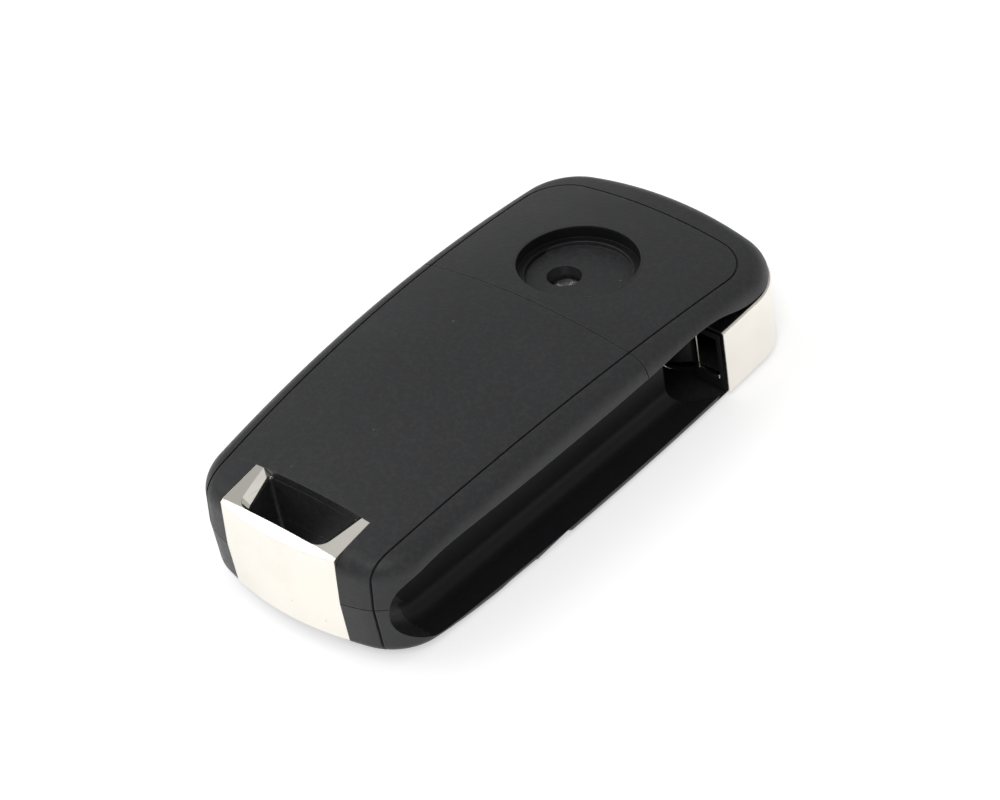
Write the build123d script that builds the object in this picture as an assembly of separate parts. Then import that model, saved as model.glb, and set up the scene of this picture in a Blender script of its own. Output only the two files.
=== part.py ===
from build123d import *
import os
from math import atan, degrees, sqrt

# Folding car key remote. X runs across the key, Y runs towards the flip head and Z runs up.
# The key lies on its button face, with the back of the case upwards. Sizes are millimetres.
os.makedirs("parts", exist_ok=True)

# Case outline at the joint between its halves, seen from above
case_length = 77.0
head_half_width = 19.05
waist_half_width = 18.9
ring_half_width = 16.55
head_end_bow = 2.4
ring_end_bow = 3.4
head_corner_radius = 8.0
ring_corner_radius = 7.5

# Case height and its rounded faces
case_height = 18.0
cross_crown_radius = 86.0
long_crown_radius = 245.0
crown_top_y = -4.4
shoulder_radius = 3.0
base_edge_radius = 1.6
wall = 1.3
# Lean of the side walls above and below the joint, in degrees
back_draft = 5.0
front_draft = 1.5
# Rise of the button face towards the ring end
toe_length = 19.0
toe_radius = 90.0
# How far a cutter runs past the face that it opens
past = 1.0

# Joints between the case pieces
split_height = 8.8
split_gap = 0.12
cover_joint_inset = 29.8

# Fine styling groove round the back panel
panel_head_half_width = 16.5
panel_waist_half_width = 15.5
panel_ring_half_width = 12.6
panel_head_inset = 5.2
panel_head_bow = 0.6
panel_ring_reach = 4.6
panel_ring_bow = 0.5
panel_corner_radius = 5.5
panel_far_corner_radius = 1.0
groove_width = 0.3
groove_depth = 0.35

# Round badge recess and the screw in its floor
recess_inset = 19.9
recess_rim_radius = 8.0
recess_rim_bevel = 0.15
recess_floor_radius = 6.85
recess_ledge_depth = 1.95
recess_depth = 2.6
recess_cup_wall = 1.2
recess_overrun = 1.5
screw_x = -1.6
screw_offset_y = -1.2
screw_hole_radius = 2.25
screw_head_radius = 2.05
screw_head_height = 1.0
screw_shank_radius = 0.9
screw_fit = 0.05
screw_seat_height = 11.6
screw_tip_height = 2.6
screw_head_edge = 0.43
screw_slot_length = 2.7
screw_slot_width = 0.55
screw_slot_depth = 0.55
screw_boss_radius = 1.95

# Blade channel in the side
channel_wall_inset = 5.15
channel_wall_head_inset = 26.9
channel_roof_height = 13.2
channel_floor_height = 1.6
channel_end_inset = 3.5
channel_cove_radius = 2.2
channel_reach = 14.0
channel_turn = 3.08
# Rounded end of the channel: distance from its tip and height, both as shares of the channel's height
channel_nose = [(1.0, 1.0), (0.44, 0.95), (0.095, 0.8), (0.0, 0.53), (0.07, 0.26), (0.34, 0.055),
                (0.8, 0.0)]
roof_fall_start = 3.25
roof_fall_bulge = 0.4

# Ring clip and ring eye
clip_half_width = 9.2
clip_back_inset = 8.0
clip_skin = 1.25
clip_bar = 1.95
clip_foot_height = 2.6
# Facet along the top of the front bar, in degrees below the crowned back
clip_facet_slope = 20.0
# Sloping inner edges of the clip's two arms
arm_slope_width = 1.1
arm_slope_depth = 0.9
eye_back_half_width = 7.2
eye_front_half_width = 5.6
eye_back_corner = 0.5
eye_front_corner = 2.0
seat_gap = 0.04

# Flip head and its pivot
pivot_side_inset = 10.05
pivot_head_inset = 11.5
head_swing_radius = 11.6
head_swing_gap = 0.3
head_bulge = 0.05
head_floor = 0.75
head_top = 10.6
head_plate = 0.55
head_skin = 0.75
head_edge_radius = 0.35
head_face_inset = 16.1
head_roof_gap = 0.3
core_gap = 0.05
core_hub_radius = 6.5
pocket_wall = 1.2

# Blade socket
socket_side_inset = 4.35
socket_width = 3.15
socket_floor = 3.1
socket_roof = 8.9
socket_depth = 9.0
socket_rim_wall = 0.6

# Pivot barrel, springs and release button
barrel_radius = 3.4
barrel_wall = 0.6
barrel_foot = 3.6
barrel_top = 13.4
barrel_fit = 0.04
hub_boss_wall = 1.7
release_radius = 4.5
release_hole_gap = 0.2
release_recess = 0.2
release_cap_height = 0.75
release_edge_radius = 0.25
release_travel = 2.0
release_room = 0.5
release_pin_radius = 1.4
release_pin_top = 6.0
release_spring_radius = 1.95
release_spring_wire = 0.45
release_spring_turns = 6
flip_spring_radius = 4.45
flip_spring_wire = 0.6
flip_spring_turns = 2.5
flip_spring_foot = 5.6
flip_spring_pitch = 0.95
flip_well_wall_gap = 0.4

# Buttons and key pad
button_width = 14.0
button_length = 8.6
button_corner = 2.2
button_pitch = 11.0
button_middle_offset = -0.25
button_gap = 0.2
button_recess = 0.2
button_height = 1.9
button_edge_radius = 0.38
button_travel = 0.5
button_room = 0.3
plunger_radius = 1.4
pad_thickness = 0.8
pad_border = 2.0

# Board, switches and battery
board_bottom = 6.2
board_thickness = 1.0
board_left_x = -14.2
board_right_x = 9.6
board_ring_inset = 11.6
board_head_inset = 26.7
board_corner = 2.5
switch_size = 5.0
switch_height = 1.9
switch_key_radius = 1.2
switch_key_height = 0.5
cell_radius = 10.0
cell_height = 3.2
cell_edge_radius = 0.35
cell_base_radius = 8.0
cell_x = -2.2
cell_ring_inset = 25.1
cell_bottom = 9.1
cell_gap = 0.15
tray_wall = 0.9
tray_floor = 0.7
tray_rim_cover = 0.75
contact_thickness = 0.25
contact_width = 3.2
contact_reach = 5.0
contact_tongue = 3.3
chip_size = 6.0
chip_height = 0.9
chip_x = -8.2
chip_cell_pitch = 15.6
crystal_length = 4.6
crystal_width = 1.9
crystal_height = 1.2
crystal_x = -1.0
coil_length = 8.0
coil_width = 3.6
coil_height = 2.6
coil_flange = 0.8
coil_waist = 0.4
coil_inset = 1.0
coil_head_inset = 0.8
part_lift = 0.02

half_length = case_length / 2
far_out = 2 * case_length

# Places measured from the head end
cover_joint_y = half_length - cover_joint_inset
recess_y = half_length - recess_inset
screw_y = recess_y + screw_offset_y
channel_wall_y = half_length - channel_wall_head_inset
pivot_y = half_length - pivot_head_inset
head_face_y = half_length - head_face_inset
board_head_y = half_length - board_head_inset

# Places measured from the ring end
channel_end_y = channel_end_inset - half_length
clip_back_y = clip_back_inset - half_length
eye_front_y = clip_bar - half_length
board_ring_y = board_ring_inset - half_length
cell_y = cell_ring_inset - half_length
chip_y = cell_y + chip_cell_pitch

# Places measured from the side with the blade channel
pivot_x = head_half_width - pivot_side_inset
channel_wall_x = head_half_width - channel_wall_inset
socket_inner_x = head_half_width - socket_side_inset

# Outer radius of the wall round the flip head's pocket, and the middle of the space for the buttons
pocket_radius = head_swing_radius + head_swing_gap
pocket_outer_radius = pocket_radius + pocket_wall
button_middle_y = (clip_back_y + wall + pivot_y - pocket_outer_radius) / 2 + button_middle_offset


def crown_drop(x, y):
    """Depth of the crowned back below its highest point."""
    across = cross_crown_radius - sqrt(cross_crown_radius**2 - x**2)
    along = long_crown_radius - sqrt(long_crown_radius**2 - (y - crown_top_y)**2)
    return across + along


def box(x0, x1, y0, y1, z0, z1):
    """Box between two corners."""
    size = Box(x1 - x0, y1 - y0, z1 - z0)
    return Pos((x0 + x1) / 2, (y0 + y1) / 2, (z0 + z1) / 2) * size


def rod(x, y, radius, z0, z1):
    """Upright cylinder between two heights."""
    return Pos(x, y, (z0 + z1) / 2) * Cylinder(radius, z1 - z0)


def tube(x, y, outer, inner, z0, z1):
    """Upright tube between two heights."""
    return rod(x, y, outer, z0, z1) - rod(x, y, inner, z0 - 1, z1 + 1)


def tapered_outline(head_x, waist_x, ring_x, head_y, ring_y, head_bow, ring_bow, head_r, ring_r):
    """Closed outline with bowed sides and ends and rounded corners."""
    right = ThreePointArc((ring_x, ring_y), (waist_x, (ring_y + head_y) / 2), (head_x, head_y))
    head = ThreePointArc((head_x, head_y), (0, head_y + head_bow), (-head_x, head_y))
    left = ThreePointArc((-head_x, head_y), (-waist_x, (ring_y + head_y) / 2), (-ring_x, ring_y))
    ring = ThreePointArc((-ring_x, ring_y), (0, ring_y - ring_bow), (ring_x, ring_y))
    face = make_face([right, head, left, ring])
    corners = face.vertices().sort_by(Axis.Y)
    face = fillet(corners[2:], head_r)
    corners = face.vertices().sort_by(Axis.Y)
    return fillet(corners[:2], ring_r)


def case_outline(inset):
    """Outline of the closed case at its joint, moved in by the inset."""
    head_x = head_half_width - inset
    ring_x = ring_half_width - inset
    head_bow = head_end_bow * (head_x / head_half_width) ** 2
    ring_bow = ring_end_bow * (ring_x / ring_half_width) ** 2
    head_y = half_length - inset - head_bow
    ring_y = -half_length + inset + ring_bow
    return tapered_outline(head_x, waist_half_width - inset, ring_x, head_y, ring_y, head_bow, ring_bow,
                           head_corner_radius - inset, ring_corner_radius - inset)


def panel_outline(growth):
    """Outline of the styling groove, open past the ring end."""
    head_y = half_length - panel_head_inset - panel_head_bow
    ring_y = -half_length - panel_ring_reach
    outline = tapered_outline(panel_head_half_width, panel_waist_half_width, panel_ring_half_width, head_y,
                              ring_y, panel_head_bow, panel_ring_bow, panel_corner_radius,
                              panel_far_corner_radius)
    return offset(outline, amount=growth)


def crown_solid(inset):
    """Everything below the crowned back, lowered by the inset."""
    half = head_half_width + channel_reach
    edge = cross_crown_radius - sqrt(cross_crown_radius**2 - half**2)
    top = case_height - inset
    arc = ThreePointArc((-half, top - edge), (0, top), (half, top - edge))
    sides = Polyline((half, top - edge), (half, -case_height), (-half, -case_height), (-half, top - edge))
    profile = Plane.XZ * make_face([arc, sides])
    axis = Axis((0, crown_top_y, case_height - long_crown_radius), (1, 0, 0))
    sweep_angle = degrees((case_length + 2 * channel_reach) / long_crown_radius)
    start = (Pos(0, crown_top_y, 0) * profile).rotate(axis, -sweep_angle / 2)
    return revolve(start, axis, sweep_angle)


def leaning_block(outline, height, lean):
    """Outline raised or lowered by a height, with its walls leaning inwards away from the joint."""
    block = extrude(outline, height)
    walls = block.faces().sort_by(Axis.Z)[1:-1]
    joint = Plane(origin=(0, 0, split_height), z_dir=(0, 0, height))
    return draft(walls, joint, lean)


def case_block(inset):
    """Case before its edges are rounded, with every face moved in by the inset."""
    outline = Pos(0, 0, split_height) * case_outline(inset)
    block = leaning_block(outline, case_height - split_height, back_draft)
    block = block + leaning_block(outline, inset - split_height, front_draft)
    return (block & crown_solid(inset)).solids()[0]


def toe_cutter(inset):
    """Space under the ring end, where the button face rises."""
    start_y = toe_length - half_length
    slab = box(-far_out, far_out, -far_out, start_y, -past, toe_radius)
    bend = Pos(0, start_y, toe_radius) * Rot(0, 90, 0) * Cylinder(toe_radius - inset, 3 * far_out)
    return slab - bend


def rounded(block, inset):
    """Block with rounded edges round its crowned back and its button face."""
    crown = block.faces().sort_by(Axis.Z)[-1]
    block = block.fillet(shoulder_radius - inset, crown.edges())
    low = [face for face in block.faces() if face.bounding_box().max.Z < split_height / 2]
    rims = [edge for face in low for edge in face.edges()]
    outer = [edge for edge in rims if sum(edge.is_same(other) for other in rims) == 1]
    return block.fillet(base_edge_radius - inset, outer)


def case_body(inset):
    """Rounded case, with every face moved in by the inset."""
    return rounded((case_block(inset) - toe_cutter(inset)).solids()[0], inset)


def channel_side_face():
    """Side view of the blade channel: a rounded ring end and a roof that falls towards the head."""
    floor_z = channel_floor_height
    roof_z = channel_roof_height
    tall = roof_z - floor_z
    points = [(channel_end_y + along * tall, floor_z + up * tall) for along, up in channel_nose]
    nose = Spline(*points, tangents=[(-1, 0), (1, 0)])
    head_roof = head_top + head_roof_gap
    fall_y0 = pivot_y - roof_fall_start
    fall_y1 = pivot_y + roof_fall_start
    bulge = (fall_y0, (roof_z + head_roof) / 2 + roof_fall_bulge)
    fall = Spline((cover_joint_y, roof_z), bulge, (fall_y1, head_roof), tangents=[(1, 0), (1, 0)])
    roof = Line(points[0], (cover_joint_y, roof_z))
    far_y = half_length + channel_reach
    rest = Polyline((fall_y1, head_roof), (far_y, head_roof), (far_y, floor_z), points[-1])
    return make_face([nose, roof, fall, rest])


def channel_place():
    """Frame of the channel wall, turned to follow the tapered side."""
    return Location((channel_wall_x, channel_wall_y, 0), (0, 0, -channel_turn))


def channel_cutter():
    """Space of the blade channel with a coved back wall."""
    side = Plane.YZ * channel_side_face()
    cutter = extrude(side, channel_reach, dir=(1, 0, 0))
    back = cutter.faces().sort_by(Axis.X)[0]
    cutter = fillet(back.edges(), channel_cove_radius)
    return channel_place() * Pos(0, -channel_wall_y, 0) * cutter


def channel_guard():
    """Solid region kept behind the channel wall."""
    slab = box(-wall, 2 * channel_reach, -far_out, far_out, -past, channel_roof_height + wall)
    return channel_place() * slab


def eye_outline():
    """Outline of the ring eye, seen from above."""
    face = make_face(Polyline((-eye_back_half_width, clip_back_y), (eye_back_half_width, clip_back_y),
                              (eye_front_half_width, eye_front_y), (-eye_front_half_width, eye_front_y),
                              close=True))
    corners = face.vertices().sort_by(Axis.Y)
    face = fillet(corners[:2], eye_front_corner)
    corners = face.vertices().sort_by(Axis.Y)
    return fillet(corners[-2:], eye_back_corner)


def eye_cutter():
    """Ring eye, right through the key."""
    return extrude(Pos(0, 0, -past) * eye_outline(), case_height + 2 * past)


def clip_region(growth):
    """Block that the ring clip lies in."""
    half = clip_half_width + growth
    low = clip_foot_height - growth
    return box(-half, half, -half_length - past, clip_back_y + growth, low, case_height + past)


def clip_skin_solid(growth):
    """Skin of the case that the ring clip is made of, solid in front of the eye."""
    behind_bar = box(-far_out, far_out, eye_front_y + growth, far_out, -past, case_height + past)
    skin = case_block(0) - (case_block(clip_skin + growth) & behind_bar)
    return skin & clip_region(growth)


def clip_facet_crown():
    """Crowned back turned down round the front edge of the eye, for the facet of the front bar."""
    height = case_height - crown_drop(0, eye_front_y)
    front_edge = Axis((0, eye_front_y, height), (1, 0, 0))
    return crown_solid(0).rotate(front_edge, clip_facet_slope)


def arm_slopes():
    """Space above the sloping inner edges of the clip's arms."""
    long_way = clip_back_y - eye_front_y
    height = case_height - crown_drop(eye_back_half_width, eye_front_y)
    fall = crown_drop(eye_back_half_width, eye_front_y) - crown_drop(eye_back_half_width, clip_back_y)
    back_x = eye_back_half_width + arm_slope_width
    front_x = eye_front_half_width + arm_slope_width
    wide = make_face(Polyline((-back_x, long_way + past), (back_x, long_way + past), (front_x, part_lift),
                              (-front_x, part_lift), close=True))
    narrow = make_face(Polyline((-eye_back_half_width, long_way + past),
                                (eye_back_half_width, long_way + past),
                                (eye_front_half_width, part_lift), (-eye_front_half_width, part_lift),
                                close=True))
    wide = fillet(wide.vertices().sort_by(Axis.Y)[:2], eye_front_corner)
    narrow = fillet(narrow.vertices().sort_by(Axis.Y)[:2], eye_front_corner)
    funnel = loft([Pos(0, 0, -arm_slope_depth) * narrow, wide], ruled=True)
    funnel = funnel + extrude(wide, past)
    tilt = degrees(atan(fall / long_way))
    return Location((0, eye_front_y, height), (tilt, 0, 0)) * funnel


def make_ring_clip():
    """Bright ring clip: front bar with a facet, and two arms that slope into the eye."""
    front = box(-far_out, far_out, -far_out, eye_front_y, 0, case_height + past)
    clip = clip_skin_solid(0) - eye_cutter() - (front - clip_facet_crown())
    return clip - arm_slopes()


def recess_tilt():
    """Tilt of the crowned back at the badge recess."""
    return degrees(atan((recess_y - crown_top_y) / long_crown_radius))


def recess_place():
    """Frame on the crowned back at the centre of the badge recess."""
    return Location((0, recess_y, case_height - crown_drop(0, recess_y)), (-recess_tilt(), 0, 0))


def recess_cutter():
    """Badge recess with an upright wall, a ledge and a flat floor."""
    wall_radius = recess_rim_radius - recess_rim_bevel
    outline = Polyline((0, recess_overrun), (recess_rim_radius + recess_overrun, recess_overrun),
                       (wall_radius, -recess_rim_bevel), (wall_radius, -recess_ledge_depth),
                       (recess_floor_radius, -recess_ledge_depth), (recess_floor_radius, -recess_depth),
                       (0, -recess_depth), (0, recess_overrun))
    bowl = revolve(Plane.XZ * make_face(outline), Axis.Z)
    return recess_place() * bowl


def recess_cup():
    """Solid left inside the cover to carry the badge recess."""
    outer = recess_rim_radius + recess_cup_wall
    depth = recess_depth + recess_cup_wall
    height = depth + recess_overrun
    return recess_place() * Pos(0, 0, recess_overrun - height / 2) * Cylinder(outer, height)


def head_pocket():
    """Round space that the flip head turns in."""
    top = head_top + head_roof_gap
    return rod(pivot_x, pivot_y, pocket_radius, head_plate, top)


def case_hollow():
    """Space inside the case for the board and battery."""
    inner = rounded(case_block(wall), wall)
    kept_ring = box(-far_out, far_out, -far_out, clip_back_y + wall, -past, case_height + past)
    pocket_top = head_top + head_roof_gap
    swing = rod(pivot_x, pivot_y, pocket_outer_radius, -past, pocket_top)
    hub = rod(pivot_x, pivot_y, barrel_radius + hub_boss_wall, pocket_top - past, case_height)
    boss = rod(screw_x, screw_y, screw_boss_radius, -past, case_height)
    seat = rod(screw_x, screw_y, screw_hole_radius + wall, screw_seat_height - wall, case_height)
    return inner - kept_ring - swing - channel_guard() - hub - boss - seat - recess_cup()


def groove_cutter():
    """Fine groove that runs round the back panel and down over the ring end."""
    ring = panel_outline(groove_width / 2) - panel_outline(-groove_width / 2)
    tall = extrude(Pos(0, 0, -past) * ring, case_height + 2 * past)
    return tall - case_body(groove_depth)


def cut_away(block, cutters):
    """Block with each cutter taken away in turn."""
    for cutter in cutters:
        block = block - cutter
    return block


def ring_end_spaces():
    """Spaces of the ring eye and of the clip's seat."""
    return [eye_cutter(), clip_skin_solid(seat_gap)]


def button_places():
    """Centres of the three buttons, from the ring end to the head."""
    return [(0, button_middle_y + step * button_pitch) for step in (-1, 0, 1)]


def rounded_plate(x, y, width, length, corner, z0, z1):
    """Flat plate with rounded corners."""
    return extrude(Pos(x, y, z0) * RectangleRounded(width, length, corner), z1 - z0)


def make_front_housing(shell):
    """Front half of the case with its button openings."""
    low = shell & box(-far_out, far_out, -far_out, far_out, -past, split_height - split_gap / 2)
    low = low - rod(screw_x, screw_y, screw_shank_radius + screw_fit, screw_tip_height, case_height)
    for x, y in button_places():
        low = low - rounded_plate(x, y, button_width + 2 * button_gap, button_length + 2 * button_gap,
                                  button_corner + button_gap, -past, wall + past)
    hole = release_radius + release_hole_gap
    return low - rod(pivot_x, pivot_y, hole, -past, head_plate + past)


def make_battery_cover(shell):
    """Cover over the battery and board."""
    low = split_height + split_gap / 2
    return shell & box(-far_out, far_out, -far_out, cover_joint_y - split_gap / 2, low, case_height + past)


def make_head_back_cover(body, spaces):
    """Cover over the flip head with the badge recess and the pivot boss."""
    low = split_height + split_gap / 2
    region = box(-far_out, far_out, cover_joint_y + split_gap / 2, far_out, low, case_height + past)
    cover = cut_away(body & region, [recess_cutter()] + spaces)
    cover = cover - rod(pivot_x, pivot_y, barrel_radius + seat_gap / 2, 0, barrel_top)
    cover = cover - rod(screw_x, screw_y, screw_hole_radius, screw_seat_height, case_height + past)
    return cover - rod(screw_x, screw_y, screw_shank_radius + screw_fit, 0, case_height)


def head_plan(growth, face_y):
    """Plan of the flip head: a swing circle cut by the case outline and the socket face."""
    circle = Pos(pivot_x, pivot_y) * Circle(head_swing_radius)
    outline = case_outline(-growth)
    front = Pos(0, face_y + half_length) * Rectangle(far_out, 2 * half_length)
    return circle & outline & front


def make_flip_head():
    """Bright outer wall, roof plate and socket rim of the flip head."""
    outer = extrude(Pos(0, 0, head_floor) * head_plan(head_bulge, head_face_y), head_top - head_floor)
    inner = extrude(Pos(0, 0, head_floor - past) * head_plan(head_bulge - head_skin, head_face_y - past),
                    head_top - head_floor + past - head_skin)
    rim = outer.faces().sort_by(Axis.Z)[0].edges() + outer.faces().sort_by(Axis.Z)[-1].edges()
    rim = [e for e in rim if e.center().Y > head_face_y + head_edge_radius]
    rim = [e for e in rim if e.center().X + e.center().Y > pivot_x + pivot_y]
    outer = fillet(rim, head_edge_radius)
    shell = outer - inner
    inner_x = socket_inner_x - socket_rim_wall
    wall_block = box(inner_x, socket_inner_x, head_face_y, head_face_y + socket_depth,
                     socket_floor - socket_rim_wall, head_top - head_skin / 2)
    lip = box(inner_x, socket_inner_x + socket_width, head_face_y, head_face_y + socket_rim_wall,
              socket_floor - socket_rim_wall, socket_floor)
    head = shell + wall_block + lip
    return head - rod(pivot_x, pivot_y, barrel_radius + hub_boss_wall + flip_well_wall_gap, 0, case_height)


def flip_well():
    """Well in the core that holds the flip spring."""
    outer = flip_spring_radius + flip_spring_wire / 2 + flip_well_wall_gap
    return rod(pivot_x, pivot_y, outer, flip_spring_foot - flip_spring_wire, head_top + past)


def core_block(low, high):
    """Dark core of the flip head between two heights, before its spaces are cut."""
    plan = head_plan(head_bulge - head_skin - core_gap, head_face_y + core_gap)
    return extrude(Pos(0, 0, low) * plan, high - low)


def core_spaces():
    """Spaces in the core for the blade socket and its bright rim."""
    slot_x1 = socket_inner_x + socket_width
    rim_x = socket_inner_x - socket_rim_wall - core_gap
    rim_z = socket_floor - socket_rim_wall - core_gap
    slot = box(socket_inner_x, slot_x1, 0, head_face_y + socket_depth, socket_floor, socket_roof)
    rim_wall = box(rim_x, socket_inner_x + core_gap, 0, head_face_y + socket_depth + core_gap,
                   rim_z, case_height)
    rim_lip = box(rim_x, slot_x1 + core_gap, 0, head_face_y + socket_rim_wall + core_gap,
                  rim_z, socket_floor + core_gap)
    return [slot, rim_wall, rim_lip]


def core_joint_height():
    """Height of the joint between the core's halves, clear above the pressed release button."""
    return release_recess + release_cap_height + release_travel + release_room


def make_head_core():
    """Upper half of the flip head's core, with the hub bore and the well of the spring."""
    low = core_joint_height() + core_gap / 2
    top = head_top - head_skin - core_gap
    core = core_block(low, top) + rod(pivot_x, pivot_y, core_hub_radius, low, top)
    core = cut_away(core, core_spaces())
    return core - rod(pivot_x, pivot_y, barrel_radius + barrel_fit, 0, case_height) - flip_well()


def make_core_base():
    """Lower half of the flip head's core, under the blade socket."""
    block = core_block(head_floor + core_gap, core_joint_height() - core_gap / 2)
    side = box(socket_inner_x - socket_rim_wall - core_gap, far_out, -far_out, far_out, 0, case_height)
    return cut_away(block & side, core_spaces())


def make_pivot_barrel():
    """Steel barrel that the flip head turns on."""
    return tube(pivot_x, pivot_y, barrel_radius, barrel_radius - barrel_wall, barrel_foot, barrel_top)


def make_release_button():
    """Round release button with the pin that guides its spring."""
    cap = rod(pivot_x, pivot_y, release_radius, release_recess, release_recess + release_cap_height)
    cap = fillet(cap.faces().sort_by(Axis.Z)[0].edges(), release_edge_radius)
    return cap + rod(pivot_x, pivot_y, release_pin_radius, release_recess, release_pin_top)


def coil(radius, wire, pitch, turns, z0):
    """Coil of round wire standing on a height."""
    path = Helix(pitch, pitch * turns, radius)
    start = path @ 0
    profile = Plane(origin=start, z_dir=path % 0) * Circle(wire / 2)
    return Pos(pivot_x, pivot_y, z0) * sweep(profile, path=path)


def make_release_spring():
    """Spring inside the barrel, between the cap of the release button and the cover."""
    cap_top = release_recess + release_cap_height
    room = barrel_top - cap_top - release_spring_wire - 2 * part_lift
    pitch = room / release_spring_turns
    z0 = cap_top + release_spring_wire / 2 + part_lift
    return coil(release_spring_radius, release_spring_wire, pitch, release_spring_turns, z0)


def make_flip_spring():
    """Spring round the barrel that throws the head out."""
    return coil(flip_spring_radius, flip_spring_wire, flip_spring_pitch, flip_spring_turns, flip_spring_foot)


def make_cover_screw():
    """Crosshead screw that holds the head cover."""
    head = rod(screw_x, screw_y, screw_head_radius, screw_seat_height, screw_seat_height + screw_head_height)
    head = fillet(head.faces().sort_by(Axis.Z)[-1].edges(), screw_head_edge)
    shank = rod(screw_x, screw_y, screw_shank_radius, screw_tip_height + part_lift, screw_seat_height)
    top = screw_seat_height + screw_head_height
    reach = screw_slot_length / 2
    half = screw_slot_width / 2
    cross = box(-reach, reach, -half, half, top - screw_slot_depth, top + past)
    cross = cross + box(-half, half, -reach, reach, top - screw_slot_depth, top + past)
    return head + shank - Pos(screw_x, screw_y, 0) * cross


def make_button(x, y):
    """Hard button cap with a plunger for its switch."""
    z0 = button_recess
    cap = rounded_plate(x, y, button_width, button_length, button_corner, z0, z0 + button_height)
    cap = fillet(cap.faces().sort_by(Axis.Z)[0].edges(), button_edge_radius)
    return cap + rod(x, y, plunger_radius, z0, plunger_top())


def plunger_top():
    """Top of a button's plunger, just under its switch."""
    return board_bottom - switch_height - switch_key_height - button_travel - button_room


def pad_bottom():
    """Lower face of the rubber key pad, on the front plate."""
    return wall + part_lift


def make_key_pad():
    """Rubber frame that seals round the buttons."""
    places = button_places()
    middle = places[1]
    width = button_width + 2 * button_gap + 2 * pad_border
    length = 2 * button_pitch + button_length + 2 * button_gap + 2 * pad_border
    pad = rounded_plate(middle[0], middle[1], width, length, button_corner + pad_border,
                        pad_bottom(), pad_bottom() + pad_thickness)
    for x, y in places:
        pad = pad - rounded_plate(x, y, button_width + 2 * button_gap, button_length + 2 * button_gap,
                                  button_corner + button_gap, 0, case_height)
    return pad


def board_top():
    """Upper face of the circuit board."""
    return board_bottom + board_thickness


def make_circuit_board():
    """Circuit board with cropped corners."""
    width = board_right_x - board_left_x
    length = board_head_y - board_ring_y
    x = (board_left_x + board_right_x) / 2
    y = (board_ring_y + board_head_y) / 2
    board = rounded_plate(x, y, width, length, board_corner, board_bottom, board_top())
    return board - rod(pivot_x, pivot_y, pocket_outer_radius + part_lift, 0, case_height)


def make_switch(x, y):
    """Tact switch under the board, facing its button."""
    top = board_bottom - part_lift
    half = switch_size / 2
    body = box(x - half, x + half, y - half, y + half, board_bottom - switch_height, top)
    return body + rod(x, y, switch_key_radius, board_bottom - switch_height - switch_key_height, top)


def make_controller_chip():
    """Controller chip on the upper face of the board."""
    half = chip_size / 2
    z0 = board_top() + part_lift
    return box(chip_x - half, chip_x + half, chip_y - half, chip_y + half, z0, z0 + chip_height)


def make_crystal():
    """Crystal can beside the chip."""
    z0 = board_top() + part_lift
    outline = SlotOverall(crystal_length, crystal_width)
    return extrude(Pos(crystal_x, chip_y, z0) * outline, crystal_height)


def make_transponder_coil():
    """Wound coil between two flanges at the head end of the board."""
    x0 = board_right_x - coil_inset - coil_width
    x1 = board_right_x - coil_inset
    y1 = board_head_y - coil_head_inset
    y0 = y1 - coil_length
    z0 = board_top() + part_lift
    z1 = z0 + coil_height
    flanges = box(x0, x1, y0, y0 + coil_flange, z0, z1) + box(x0, x1, y1 - coil_flange, y1, z0, z1)
    return flanges + box(x0 + coil_waist, x1 - coil_waist, y0, y1, z0 + coil_waist, z1 - coil_waist)


def make_battery_tray():
    """Round tray that holds the coin cell above the board."""
    outer = cell_radius + cell_gap + tray_wall
    z0 = board_top() + part_lift
    floor_top = cell_bottom - cell_gap
    tray = rod(cell_x, cell_y, outer, floor_top - tray_floor, cell_bottom + cell_height * tray_rim_cover)
    tray = tray - rod(cell_x, cell_y, cell_radius + cell_gap, floor_top, case_height)
    feet = tube(cell_x, cell_y, outer, outer - tray_wall, z0, floor_top)
    half = contact_width / 2 + cell_gap
    reach = contact_reach + cell_gap
    window = box(cell_x - reach, cell_x + reach, cell_y - half, cell_y + half, z0 - past, floor_top + past)
    gate = box(cell_x - half, cell_x + half, cell_y, cell_y + far_out, z0 - past, case_height)
    return tray + feet - window - gate


def make_coin_cell():
    """Coin cell with a rounded can edge."""
    can = rod(cell_x, cell_y, cell_radius, cell_bottom, cell_bottom + cell_height)
    can = fillet(can.faces().sort_by(Axis.Z)[-1].edges(), cell_edge_radius)
    base = rod(cell_x, cell_y, cell_base_radius, cell_bottom - cell_gap / 2, cell_bottom)
    return can + base


def make_negative_contact():
    """Leaf under the coin cell."""
    z1 = cell_bottom - cell_gap / 2 - part_lift
    half = contact_width / 2
    x0 = cell_x - contact_reach
    leaf = box(x0, cell_x + contact_reach, cell_y - half, cell_y + half, z1 - contact_thickness, z1)
    leg = box(x0, x0 + contact_thickness, cell_y - half, cell_y + half, board_top() + part_lift, z1)
    return leaf + leg


def make_positive_contact():
    """Strap that rises beside the coin cell and bears on its rim."""
    half = contact_width / 2
    y0 = cell_y + cell_radius + cell_gap
    z1 = cell_bottom + cell_height + part_lift
    leg = box(cell_x - half, cell_x + half, y0, y0 + contact_thickness, board_top() + part_lift, z1)
    y1 = y0 + contact_thickness
    tongue = box(cell_x - half, cell_x + half, y1 - contact_tongue, y1, z1, z1 + contact_thickness)
    return leg + tongue


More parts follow.
